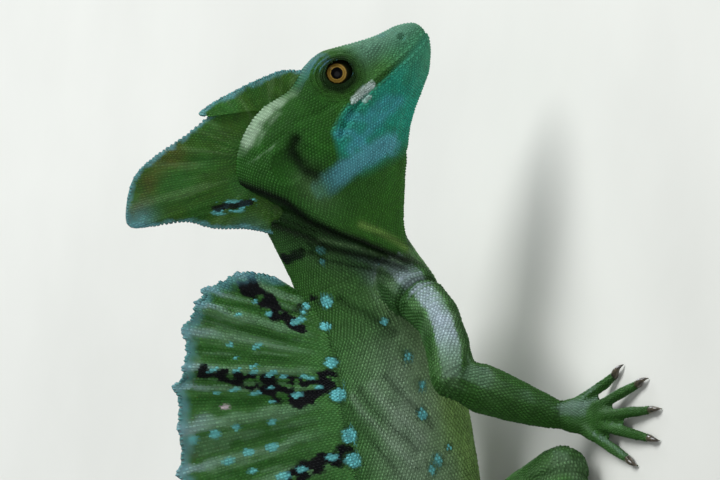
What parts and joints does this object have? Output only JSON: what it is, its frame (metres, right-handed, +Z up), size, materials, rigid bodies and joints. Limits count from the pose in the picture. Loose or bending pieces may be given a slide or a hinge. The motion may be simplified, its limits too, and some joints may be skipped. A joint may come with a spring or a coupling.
{
  "type": "green basilisk lizard model",
  "caption": "Life-size green basilisk lizard, an adult male with tall head, back and tail crests, chest raised on its arms, head cocked up and long tail laid on the floor.",
  "frame": {"origin": "on the floor, under the middle of the animal's bounding box", "axes": "+Z up, +X towards the head along the body, +Y to the animal's left"},
  "size_m": [0.5706, 0.233, 0.1049],
  "materials": {
    "skin": "scaly green skin, slightly moist sheen, bluish on the lower jaw and limbs",
    "crest": "thin scaly membrane over bony rays, dark bars and pale blue spots",
    "eye": "wet, clear surface over a gold iris and a round black pupil"
  },
  "bodies": {
    "root": {"head": "skin", "eye_left": "eye", "eye_right": "eye", "neck": "skin", "torso": "skin", "tail_1": "skin", "tail_2": "skin", "tail_3": "skin", "tail_4": "skin", "crest_head": "crest", "crest_brow": "crest", "crest_back": "crest", "crest_tail": "crest", "upper_arm_right": "skin", "forearm_right": "skin", "hand_right": "skin", "upper_arm_left": "skin", "forearm_left": "skin", "hand_left": "skin", "thigh_right": "skin", "shank_right": "skin", "foot_right": "skin", "thigh_left": "skin", "shank_left": "skin", "foot_left": "skin"}
  },
  "joints": []
}
